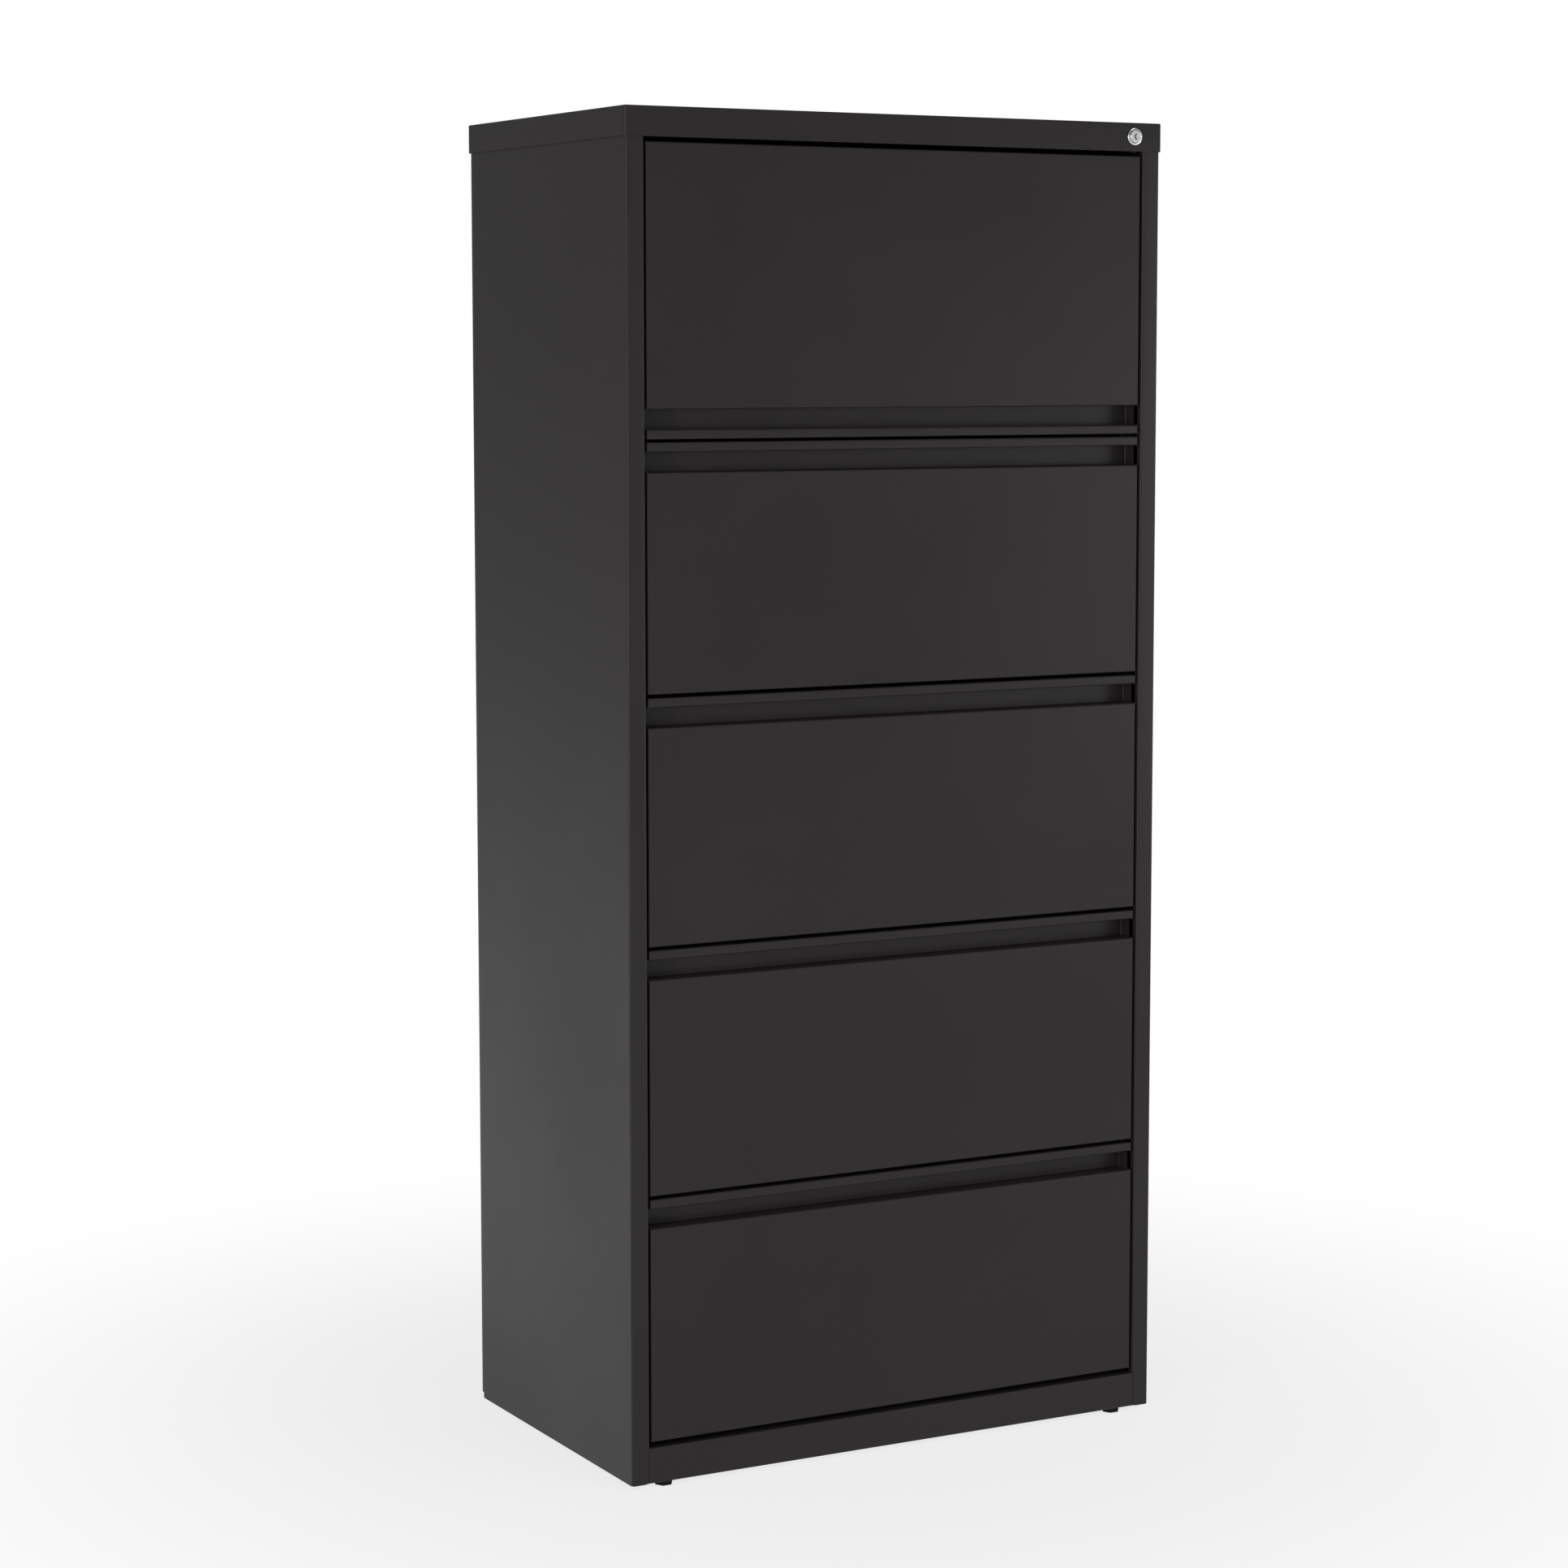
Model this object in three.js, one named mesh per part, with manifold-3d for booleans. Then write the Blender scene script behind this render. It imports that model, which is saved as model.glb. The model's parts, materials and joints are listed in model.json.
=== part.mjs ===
// Lateral filing cabinet of painted sheet steel: four drawers under a flip-up door with a roll-out shelf.
// Millimetres, +Z up. The front faces -Y, and the origin is on the floor under the middle of the cabinet.
import * as THREE from 'three';
import { mergeVertices } from 'three/addons/utils/BufferGeometryUtils.js';
import Module from 'manifold-3d';

const wasm = await Module();
wasm.setup();

// Sheet metal and fits
const SHEET = 1.0;
const BEND = 1.7;               // bend radius on the middle of the sheet
const BEND_STEPS = 3;
const SEAT_GAP = 0.3;           // between pieces that rest on each other
const WELD = 0.25;              // how far welded sheets run into each other
const CUT_MARGIN = 2;           // how far a cutting tool runs past the sheet it cuts

// Overall sizes
const CAP_WIDTH = 762;
const DEPTH = 457;              // from the face of the stiles to the back
const CAP_HEIGHT = 36;
const CAP_OVERHANG = 2;         // on each side of the body
const CAP_CORNER = 2.5;
const CAP_EDGE = 1.6;           // rounding of the cap's top edges
const CAP_FLANGE = 8;           // turned in under the front skirt
const STILE_WIDTH = 24;
const STILE_RETURN = 8;
const STILE_TOE = 2.5;          // rounding of each stile's outer lower corner
const REAR_FLANGE = 14;
const BACK_PAN = 6.5;           // how far the back panel stands behind the side panels
const BACK_LIFT = 7;            // lower edge of the back panel over the bottom of the sides
const BACK_INSET = 1;

// Heights from the floor up
const FOOT_REVEAL = 6;
const RAIL_HEIGHT = 44.5;
const BASE_GAP = 6.5;
const DRAWER_COUNT = 4;
const DRAWER_HEIGHT = 303;
const DRAWER_GAP = 4.5;
const DOOR_GAP = 3.5;
const DOOR_HEIGHT = 353;
const CAP_GAP = 5.5;

// Drawer fronts and the door, folded with a full-width pull
const FRONT_SIDE_GAP = 3.7;
const FRONT_SETBACK = 2.5;
const PULL_LIP = 11.3;
const PULL_HEIGHT = 25;
const PULL_DEPTH = 27;
const HEM_WIDTH = 3.6;
const HEM_LENGTH = 7;
const PULL_END_CUT = 9;         // how far the side walls are cut back at the pull
const PULL_END_ROUND = 4;
const FRONT_CORNER = 1.5;
const FRONT_FLANGE = 18;
const RETURN_FLANGE = 15;

// Drawer bodies
const DRAWER_FLOOR_LIFT = 10;
const DRAWER_SIDE_HEIGHT = 240;
const DRAWER_TOP_FLANGE = 9;
const DRAWER_LENGTH = 396;
const FILE_BAR_DEPTH = 318;     // behind the drawer's inner front, for letter-size folders
const FILE_BAR_HEIGHT = 16;
const FILE_BAR_THICK = 2;
const FILE_BAR_PLAY = 1.2;

// Telescopic slides: three nested channels
const SLIDE_WIDTH = 12.7;
const SLIDE_HEIGHT = 45;
const SHELF_SLIDE_HEIGHT = 35;
const SLIDE_SHEET = 1.2;
const SLIDE_BEND = 1.0;
const SLIDE_PLAY = 0.35;        // running gap between two members
const SLIDE_LIP = 0.8;          // members stop this short of the next one's web
const SLIDE_FRONT = 44;         // front end of the slides behind the stiles
const SLIDE_LENGTH = 396;
const SLIDE_RISE = 60;          // slide's middle over the lower edge of its drawer front

// Roll-out shelf behind the door
const SHELF_FRONT = 62;
const SHELF_LENGTH = 358;
const SHELF_DEPTH = 30;
const SHELF_CLEARANCE = 2;      // over the drawer fronts below

// Posts that carry the slides
const POST_WIDTH = 30;
const FRONT_POST = 46;
const REAR_POST = 390;
const POST_SLOT_WIDTH = 6;
const POST_SLOT_HEIGHT = 14;
const POST_SLOT_PITCH = 38.5;

// Base
const RAIL_CUT = 2;             // how far the stile is cut back beside the rail
const RAIL_CUT_ROUND = 4;
const RAIL_CORNER = 2;
const RAIL_SEAM = 0.8;          // open joint at the right, the rail being set against the left stile
const RAIL_FLANGE = 29;
const RAIL_LIP = 9;
const PAN_RISE = 12;
const PAN_FRONT = 30;
const NUT_RADIUS = 9;
const NUT_HEIGHT = 8;
const FOOT_INSET = 49.5;        // from the side of the body
const FOOT_SETBACK = 13.5;
const REAR_FOOT_SETBACK = 40;   // from the back
const FOOT_RADIUS = 12.4;       // over the corners of the hexagon
const FOOT_BASE_RADIUS = 11.4;
const FOOT_RIM_RADIUS = 12;
const FOOT_RIM_HEIGHT = 1.5;
const FOOT_WAIST_RADIUS = 11;
const FOOT_WAIST_HEIGHT = 3.4;
const FOOT_TURN = 0.5;          // how the hexagon stands, in radians
const STEM_RADIUS = 4;
const STEM_PLAY = 0.35;
const STEM_LENGTH = 30;
const WEIGHT_WIDTH = 520;
const WEIGHT_DEPTH = 90;
const WEIGHT_HEIGHT = 22;
const WEIGHT_SETBACK = 70;      // from the back
const WEIGHT_CHAMFER = 4;

// Door carriages and tracks
const PIVOT_SETBACK = 13;
const PIVOT_DROP = 10;          // below the top of the door
const PIVOT_RADIUS = 4;
const PIVOT_PLAY = 0.35;
const PIVOT_REACH = 5;          // pin past the door's side wall
const CARRIAGE_FRONT = 10;      // in front of the pivot
const CARRIAGE_BACK = 36;       // behind the pivot
const CARRIAGE_HEIGHT = 19;
const CARRIAGE_WIDTH = 12;
const TRACK_PLAY = 0.35;
const TRACK_SHEET = 1.2;
const TRACK_FACE_INSET = 2;     // open side of the tracks outside the stile's inner edge
const TRACK_LENGTH = 428;
const CROSS_BAR_FRONT = 23;     // behind the pivot
const CROSS_BAR_WIDTH = 12;
const CROSS_BAR_HEIGHT = 12;
const LINER_MARGIN = 2;

// Lock
const LOCK_INSET = 41;          // from the right edge of the cap
const LOCK_DROP = 17.5;         // from the top of the cap
const BEZEL_RADIUS = 11;
const BEZEL_PROUD = 2.4;
const BEZEL_ROUND = 1.4;
const BEZEL_MOUTH = 9.2;        // radius at which the bezel starts to slope in to the plug
const BEZEL_GROOVE = 1.3;       // depth of the groove round the plug
const BARREL_RADIUS = 9.5;
const BARREL_LENGTH = 21;
const PLUG_RADIUS = 7.6;
const PLUG_PLAY = 0.3;
const PLUG_PROUD = 0.8;         // in front of the bezel
const PLUG_CHAMFER = 0.4;
const KEYWAY_WIDTH = 2.0;
const KEYWAY_HEIGHT = 8;
const KEYWAY_BEND = 2.2;        // the keyway's sideways step
const KEYWAY_DEPTH = 8;
const CLIP_PRONG = 1.0;
const CLIP_SPREAD = 3.7;
const CLIP_REACH = 2;           // prongs below the cap's skirt
const CAM_THICK = 2;
const CAM_HUB_RADIUS = 7;
const CAM_TIP_RADIUS = 4;
const PIN_THROW = 9;            // cam pin from the lock's axis
const PIN_ANGLE = Math.PI / 4;  // unlocked, above the level line
const PIN_RADIUS = 2;
const PIN_PLAY = 0.6;
const BAR_THICK = 2;
const BAR_WIDTH = 10;
const BAR_SETBACK = 32;
const BAR_ARM_HEIGHT = 10;
const HOOK_RISE = 125;          // over the lower edge of each drawer front
const HOOK_HEIGHT = 7;
const HOOK_THICK = 2;
const HOOK_GAP = 2;             // hook over its catch when unlocked
const CATCH_REACH = 9;
const CATCH_HEIGHT = 6;
const CATCH_SETBACK = 2;        // behind the hook

// Round faces
const ROUND_SIDES = 24;
const PIN_SIDES = 12;
const FOOT_SIDES = 6;

// Places worked out from the sizes
const HALF_CAP = CAP_WIDTH / 2;
const HALF_BODY = HALF_CAP - CAP_OVERHANG;
const HALF_INSIDE = HALF_BODY - SHEET;
const HALF_OPENING = HALF_BODY - STILE_WIDTH;
const HALF_FRONT = HALF_OPENING - FRONT_SIDE_GAP;
const CAP_PROUD = SHEET + SEAT_GAP;
const LOCK_PROUD = CAP_PROUD + BEZEL_PROUD + PLUG_PROUD;
const FRONT_Y = -(DEPTH - LOCK_PROUD) / 2;
const BACK_Y = FRONT_Y + DEPTH;
const SIDE_BACK_Y = BACK_Y - BACK_PAN;
const BODY_BOTTOM = FOOT_REVEAL;
const RAIL_TOP = BODY_BOTTOM + RAIL_HEIGHT;
const DRAWER_PITCH = DRAWER_HEIGHT + DRAWER_GAP;
const DRAWERS_TOP = RAIL_TOP + BASE_GAP + DRAWER_COUNT * DRAWER_PITCH - DRAWER_GAP;
const DOOR_BOTTOM = DRAWERS_TOP + DOOR_GAP;
const DOOR_TOP = DOOR_BOTTOM + DOOR_HEIGHT;
const CAP_BOTTOM = DOOR_TOP + CAP_GAP;
const CAP_TOP = CAP_BOTTOM + CAP_HEIGHT;
const PAN_TOP = BODY_BOTTOM + PAN_RISE;
const FACE_Y = FRONT_Y + FRONT_SETBACK;
const PULL_BACK_Y = FACE_Y + PULL_DEPTH + SHEET;
const SLIDE_FACE = HALF_OPENING - SEAT_GAP;
const HALF_DRAWER = SLIDE_FACE - SLIDE_WIDTH;
const DRAWER_FRONT_Y = PULL_BACK_Y + SEAT_GAP;
const PIVOT_Y = FRONT_Y + PIVOT_SETBACK;
const PIVOT_Z = DOOR_TOP - PIVOT_DROP;
const TRACK_HALF = CARRIAGE_HEIGHT / 2 + TRACK_PLAY + TRACK_SHEET;
const POST_TOP = PIVOT_Z - TRACK_HALF - SEAT_GAP;
const TRACK_FACE = HALF_OPENING + TRACK_FACE_INSET;
const LOCK_X = HALF_CAP - LOCK_INSET;
const LOCK_Z = CAP_TOP - LOCK_DROP;
const CAM_Y = FRONT_Y + BARREL_LENGTH + SEAT_GAP;
const BAR_Y = FRONT_Y + BAR_SETBACK;

// Lower edge of drawer number 1 (under the door) to DRAWER_COUNT (over the base)
const drawerBottom = (number) => RAIL_TOP + BASE_GAP + (DRAWER_COUNT - number) * DRAWER_PITCH;

// Finishes
const finish = (color, roughness, metalness) => () => (
  new THREE.MeshStandardMaterial({ color, roughness, metalness })
);
const blackPaint = finish(0x323031, 0.55, 0.0);
const zincSteel = finish(0x9a9c9e, 0.4, 0.9);
const chrome = finish(0xd0d2d4, 0.15, 1.0);
const blackPlastic = finish(0x101011, 0.6, 0.0);
const rawSteel = finish(0x55524f, 0.7, 0.6);

// Outline of a sheet folded along a line of points, with a round bend at each inner point
function foldedSheet(line, thickness = SHEET, bend = BEND) {
  const points = line.map(([a, b]) => new THREE.Vector2(a, b));
  const near = [];
  const far = [];
  const put = (middle, normal) => {
    near.push(middle.clone().addScaledVector(normal, thickness / 2));
    far.unshift(middle.clone().addScaledVector(normal, -thickness / 2));
  };
  const heading = (i) => points[i + 1].clone().sub(points[i]).normalize();
  const leftOf = (direction) => new THREE.Vector2(-direction.y, direction.x);
  const last = points.length - 1;
  put(points[0], leftOf(heading(0)));
  for (let i = 1; i < last; i += 1) {
    const into = heading(i - 1);
    const out = heading(i);
    const turn = Math.atan2(into.cross(out), into.dot(out));
    const side = Math.sign(turn);
    const start = points[i].clone().addScaledVector(into, -bend * Math.tan(Math.abs(turn) / 2));
    const centre = start.addScaledVector(leftOf(into), side * bend);
    for (let step = 0; step <= BEND_STEPS; step += 1) {
      const normal = leftOf(into).rotateAround(new THREE.Vector2(), turn * step / BEND_STEPS);
      put(centre.clone().addScaledVector(normal, -side * bend), normal);
    }
  }
  put(points[last], leftOf(heading(last - 1)));
  return new THREE.Shape([...near, ...far]);
}

const polygon = (line) => new THREE.Shape(line.map(([a, b]) => new THREE.Vector2(a, b)));

const X_AXIS = new THREE.Vector3(1, 0, 0);
const Y_AXIS = new THREE.Vector3(0, 1, 0);
const Z_AXIS = new THREE.Vector3(0, 0, 1);

const extruded = (shape, depth) => (
  new THREE.ExtrudeGeometry(shape, { depth, bevelEnabled: false, curveSegments: ROUND_SIDES / 4 })
);

// An outline drawn in plan (x, y) and raised from z0 to z1
function alongZ(shape, z0, z1) {
  return extruded(shape, z1 - z0).translate(0, 0, z0);
}

// An outline drawn from the side (y, z) and drawn out from x0 to x1
function alongX(shape, x0, x1) {
  const turn = new THREE.Matrix4().makeBasis(Y_AXIS, Z_AXIS, X_AXIS);
  return extruded(shape, x1 - x0).applyMatrix4(turn).translate(x0, 0, 0);
}

// An outline drawn from the front (x, z) and drawn out from y0 to y1
function alongY(shape, y0, y1) {
  const turn = new THREE.Matrix4().makeBasis(X_AXIS, Z_AXIS, Y_AXIS.clone().negate());
  return extruded(shape, y1 - y0).applyMatrix4(turn).translate(0, y1, 0);
}

function block(...spans) {
  const geometry = new THREE.BoxGeometry();
  const corners = geometry.attributes.position;
  for (let i = 0; i < corners.count; i += 1) {
    spans.forEach((span, axis) => {
      const end = corners.getComponent(i, axis) < 0 ? Math.min(...span) : Math.max(...span);
      corners.setComponent(i, axis, end);
    });
  }
  return geometry;
}

// A round pin or hole along X, Y or Z from one end to the other
function rod(axis, from, to, radius, at, sides = ROUND_SIDES) {
  const geometry = new THREE.CylinderGeometry(radius, radius, to - from, sides);
  const turn = new THREE.Quaternion().setFromUnitVectors(Y_AXIS, axis);
  const middle = new THREE.Vector3(...at).addScaledVector(axis, (from + to) / 2);
  return geometry.applyQuaternion(turn).translate(middle.x, middle.y, middle.z);
}

function toSolid(geometry) {
  const bare = geometry.clone();
  bare.deleteAttribute('normal');
  bare.deleteAttribute('uv');
  const merged = mergeVertices(bare);
  return new wasm.Manifold(new wasm.Mesh({
    numProp: 3,
    vertProperties: new Float32Array(merged.attributes.position.array),
    triVerts: new Uint32Array(merged.index.array),
  }));
}

function toGeometry(solid) {
  const mesh = solid.getMesh();
  const geometry = new THREE.BufferGeometry();
  geometry.setAttribute('position', new THREE.BufferAttribute(mesh.vertProperties, 3));
  geometry.setIndex(new THREE.BufferAttribute(mesh.triVerts, 1));
  geometry.computeVertexNormals();
  return geometry;
}

const joined = (...pieces) => toGeometry(pieces.map(toSolid).reduce((sum, piece) => sum.add(piece)));

const cut = (body, ...tools) => (
  toGeometry(tools.map(toSolid).reduce((rest, tool) => rest.subtract(tool), toSolid(body)))
);

const cabinet = new THREE.Group();

function addPart(name, geometry, material) {
  const mesh = new THREE.Mesh(geometry, material());
  mesh.name = name;
  cabinet.add(mesh);
}

// Left is -X and right is +X
const SIDES = [['left', -1], ['right', 1]];

// Outline of a cut that rounds the outer corner at (x, z) of an upright sheet: up is 1 at its top, -1 below
function cornerCut(x, z, up, radius) {
  const out = Math.sign(x);
  const shape = new THREE.Shape();
  shape.moveTo(x, z - up * radius);
  shape.quadraticCurveTo(x, z, x - out * radius, z);
  shape.lineTo(x - out * radius, z + up * CUT_MARGIN);
  shape.lineTo(x + out * CUT_MARGIN, z + up * CUT_MARGIN);
  shape.lineTo(x + out * CUT_MARGIN, z - up * radius);
  return shape;
}

// Start of an outline along the joint of a stile and the base rail, which turns outward at the bottom
function railEdge(side, gap) {
  const edge = HALF_OPENING + RAIL_CUT - gap;
  const shape = new THREE.Shape();
  shape.moveTo(side * (edge + RAIL_CUT_ROUND), BODY_BOTTOM - CUT_MARGIN);
  shape.lineTo(side * (edge + RAIL_CUT_ROUND), BODY_BOTTOM);
  shape.quadraticCurveTo(side * edge, BODY_BOTTOM, side * edge, BODY_BOTTOM + RAIL_CUT_ROUND);
  return shape;
}

// Carcase

function capGeometry() {
  const plan = (inset) => {
    const [left, right] = [-HALF_CAP + inset, HALF_CAP - inset];
    const [front, back] = [FRONT_Y - CAP_PROUD + inset, BACK_Y - inset];
    const r = CAP_CORNER - inset;
    const shape = new THREE.Shape();
    shape.moveTo(left + r, front);
    shape.lineTo(right - r, front);
    shape.absarc(right - r, front + r, r, -Math.PI / 2, 0);
    shape.lineTo(right, back - r);
    shape.absarc(right - r, back - r, r, 0, Math.PI / 2);
    shape.lineTo(left + r, back);
    shape.absarc(left + r, back - r, r, Math.PI / 2, Math.PI);
    shape.lineTo(left, front + r);
    shape.absarc(left + r, front + r, r, Math.PI, Math.PI * 1.5);
    return shape;
  };
  const rounded = new THREE.ExtrudeGeometry(plan(0), {
    depth: CAP_HEIGHT,
    curveSegments: ROUND_SIDES / 4,
    bevelThickness: CAP_EDGE,
    bevelSize: CAP_EDGE,
    bevelOffset: -CAP_EDGE,
    bevelSegments: BEND_STEPS,
  }).translate(0, 0, CAP_BOTTOM - CAP_EDGE);
  const below = block(
    [-CAP_WIDTH, CAP_WIDTH],
    [-DEPTH, DEPTH],
    [CAP_BOTTOM - CAP_HEIGHT, CAP_BOTTOM],
  );
  const shell = cut(rounded, below, alongZ(plan(SHEET), CAP_BOTTOM - CUT_MARGIN, CAP_TOP - SHEET));
  const flangeHalf = HALF_OPENING - SEAT_GAP;
  const flange = block(
    [-flangeHalf, flangeHalf],
    [FRONT_Y - CAP_PROUD + SHEET / 2, FRONT_Y + CAP_FLANGE],
    [CAP_BOTTOM, CAP_BOTTOM + SHEET],
  );
  const lockHole = rod(
    Y_AXIS,
    FRONT_Y - CAP_PROUD - CUT_MARGIN,
    FRONT_Y + CUT_MARGIN,
    BARREL_RADIUS + SEAT_GAP,
    [LOCK_X, 0, LOCK_Z],
  );
  const [prongLow, prongHigh] = clipProngs();
  const clipRoom = block(
    [prongLow - SEAT_GAP, prongHigh + SEAT_GAP],
    [FRONT_Y + SHEET, FRONT_Y + CAP_FLANGE + CUT_MARGIN],
    [CAP_BOTTOM - CUT_MARGIN, CAP_BOTTOM + CUT_MARGIN],
  );
  return cut(joined(shell, flange), lockHole, clipRoom);
}

function sidePanelGeometry(side) {
  const wall = side * (HALF_BODY - SHEET / 2);
  const edge = side * (HALF_OPENING + SHEET / 2);
  const panel = foldedSheet([
    [edge, FRONT_Y + STILE_RETURN],
    [edge, FRONT_Y + SHEET / 2],
    [wall, FRONT_Y + SHEET / 2],
    [wall, SIDE_BACK_Y - SHEET / 2],
    [wall - side * REAR_FLANGE, SIDE_BACK_Y - SHEET / 2],
  ]);
  const railCut = railEdge(side, 0);
  railCut.lineTo(side * (HALF_OPENING + RAIL_CUT), RAIL_TOP + SEAT_GAP);
  railCut.lineTo(side * (HALF_OPENING - CUT_MARGIN), RAIL_TOP + SEAT_GAP);
  railCut.lineTo(side * (HALF_OPENING - CUT_MARGIN), BODY_BOTTOM - CUT_MARGIN);
  const toe = cornerCut(side * HALF_BODY, BODY_BOTTOM, -1, STILE_TOE);
  return cut(
    alongZ(panel, BODY_BOTTOM, CAP_TOP - SHEET - SEAT_GAP),
    alongY(railCut, FRONT_Y - CUT_MARGIN, FRONT_Y + STILE_RETURN + CUT_MARGIN),
    alongY(toe, FRONT_Y - CUT_MARGIN, FRONT_Y + STILE_TOE),
  );
}

function backPanelGeometry() {
  const edge = HALF_BODY - BACK_INSET - SHEET / 2;
  const pan = foldedSheet([
    [-edge, SIDE_BACK_Y + SEAT_GAP],
    [-edge, BACK_Y - SHEET / 2],
    [edge, BACK_Y - SHEET / 2],
    [edge, SIDE_BACK_Y + SEAT_GAP],
  ]);
  return alongZ(pan, BODY_BOTTOM + BACK_LIFT, CAP_BOTTOM - SEAT_GAP);
}

function postGeometry(side, setback) {
  const y0 = FRONT_Y + setback;
  const web = side * (HALF_OPENING + SHEET / 2);
  const wallEdge = side * (HALF_INSIDE - SEAT_GAP);
  const channel = foldedSheet([
    [wallEdge, y0 + SHEET / 2],
    [web, y0 + SHEET / 2],
    [web, y0 + POST_WIDTH - SHEET / 2],
    [wallEdge, y0 + POST_WIDTH - SHEET / 2],
  ]);
  const slots = [];
  for (let number = 1; number <= DRAWER_COUNT; number += 1) {
    for (const rise of [0, POST_SLOT_PITCH]) {
      const middle = drawerBottom(number) + SLIDE_RISE + SLIDE_HEIGHT + rise;
      slots.push(block(
        [web - CUT_MARGIN, web + CUT_MARGIN],
        [y0 + (POST_WIDTH - POST_SLOT_WIDTH) / 2, y0 + (POST_WIDTH + POST_SLOT_WIDTH) / 2],
        [middle - POST_SLOT_HEIGHT / 2, middle + POST_SLOT_HEIGHT / 2],
      ));
    }
  }
  return cut(alongZ(channel, PAN_TOP + SEAT_GAP, POST_TOP), ...slots);
}

// Base

const frontFootPlaces = SIDES.map(([label, side]) => (
  [`front_${label}_foot`, side * (HALF_BODY - FOOT_INSET), FRONT_Y + FOOT_SETBACK]
));
const rearFootPlaces = SIDES.map(([label, side]) => (
  [`rear_${label}_foot`, side * (HALF_BODY - FOOT_INSET), BACK_Y - REAR_FOOT_SETBACK]
));

// A sheet with a round nut welded over each foot
function withNuts(sheet, sheetTop, places) {
  const nuts = places.map(([, x, y]) => (
    rod(Z_AXIS, sheetTop - SHEET / 2, sheetTop + NUT_HEIGHT, NUT_RADIUS, [x, y, 0], PIN_SIDES)
  ));
  const bores = places.map(([, x, y]) => rod(
    Z_AXIS,
    sheetTop - SHEET - CUT_MARGIN,
    sheetTop + NUT_HEIGHT + CUT_MARGIN,
    STEM_RADIUS + STEM_PLAY,
    [x, y, 0],
    PIN_SIDES,
  ));
  return cut(joined(sheet, ...nuts), ...bores);
}

function railGeometry() {
  const front = FRONT_Y + SHEET / 2;
  const channel = foldedSheet([
    [front + RAIL_FLANGE, BODY_BOTTOM + SHEET / 2],
    [front, BODY_BOTTOM + SHEET / 2],
    [front, RAIL_TOP - SHEET / 2],
    [front + RAIL_FLANGE, RAIL_TOP - SHEET / 2],
    [front + RAIL_FLANGE, RAIL_TOP - RAIL_LIP],
  ]);
  // The face ends at the stiles, and the lower flange runs on behind them to the side panels
  const ends = SIDES.flatMap(([label, side]) => {
    const gap = label === 'left' ? SEAT_GAP : RAIL_SEAM;
    const edge = HALF_OPENING + RAIL_CUT - gap;
    const end = railEdge(side, gap);
    end.lineTo(side * edge, RAIL_TOP - RAIL_CORNER);
    end.quadraticCurveTo(side * edge, RAIL_TOP, side * (edge - RAIL_CORNER), RAIL_TOP);
    end.lineTo(side * (edge - RAIL_CORNER), RAIL_TOP + CUT_MARGIN);
    end.lineTo(side * HALF_BODY, RAIL_TOP + CUT_MARGIN);
    end.lineTo(side * HALF_BODY, BODY_BOTTOM - CUT_MARGIN);
    const aboveFlange = block(
      [side * edge, side * HALF_BODY],
      [FRONT_Y, front + RAIL_FLANGE + CUT_MARGIN],
      [BODY_BOTTOM + SHEET + BEND, RAIL_TOP + CUT_MARGIN],
    );
    return [alongY(end, FRONT_Y - CUT_MARGIN, FRONT_Y + SHEET + SEAT_GAP), aboveFlange];
  });
  const half = HALF_INSIDE - BEND - SEAT_GAP;
  const rail = cut(alongX(channel, -half, half), ...ends);
  return withNuts(rail, BODY_BOTTOM + SHEET, frontFootPlaces);
}

function bottomPanGeometry() {
  const half = HALF_INSIDE - SEAT_GAP;
  const [front, back] = [FRONT_Y + PAN_FRONT, SIDE_BACK_Y - SHEET - BEND];
  const tray = cut(
    block([-half, half], [front, back], [BODY_BOTTOM, PAN_TOP]),
    block(
      [-half + SHEET, half - SHEET],
      [front + SHEET, back - SHEET],
      [BODY_BOTTOM - CUT_MARGIN, PAN_TOP - SHEET],
    ),
  );
  return withNuts(tray, PAN_TOP, rearFootPlaces);
}

function footGeometry(x, y) {
  const height = FOOT_REVEAL - SEAT_GAP;
  const profile = [
    [0, 0],
    [FOOT_BASE_RADIUS, 0],
    [FOOT_RIM_RADIUS, FOOT_RIM_HEIGHT],
    [FOOT_WAIST_RADIUS, FOOT_WAIST_HEIGHT],
    [FOOT_RADIUS, FOOT_WAIST_HEIGHT],
    [FOOT_RADIUS, height],
    [0, height],
  ];
  const pad = new THREE.LatheGeometry(profile.map(([r, z]) => new THREE.Vector2(r, z)), FOOT_SIDES)
    .rotateX(Math.PI / 2)
    .rotateZ(FOOT_TURN)
    .translate(x, y, 0);
  const stem = rod(Z_AXIS, height / 2, height + STEM_LENGTH, STEM_RADIUS, [x, y, 0], PIN_SIDES);
  return joined(pad, stem);
}

function counterweightGeometry() {
  const back = BACK_Y - WEIGHT_SETBACK;
  const low = PAN_TOP + SEAT_GAP;
  const bar = polygon([
    [back - WEIGHT_DEPTH, low],
    [back, low],
    [back, low + WEIGHT_HEIGHT - WEIGHT_CHAMFER],
    [back - WEIGHT_CHAMFER, low + WEIGHT_HEIGHT],
    [back - WEIGHT_DEPTH + WEIGHT_CHAMFER, low + WEIGHT_HEIGHT],
    [back - WEIGHT_DEPTH, low + WEIGHT_HEIGHT - WEIGHT_CHAMFER],
  ]);
  return alongX(bar, -WEIGHT_WIDTH / 2, WEIGHT_WIDTH / 2);
}

// Fronts with a folded pull: at the top edge of a drawer, and upside down at the lower edge of the door

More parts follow.
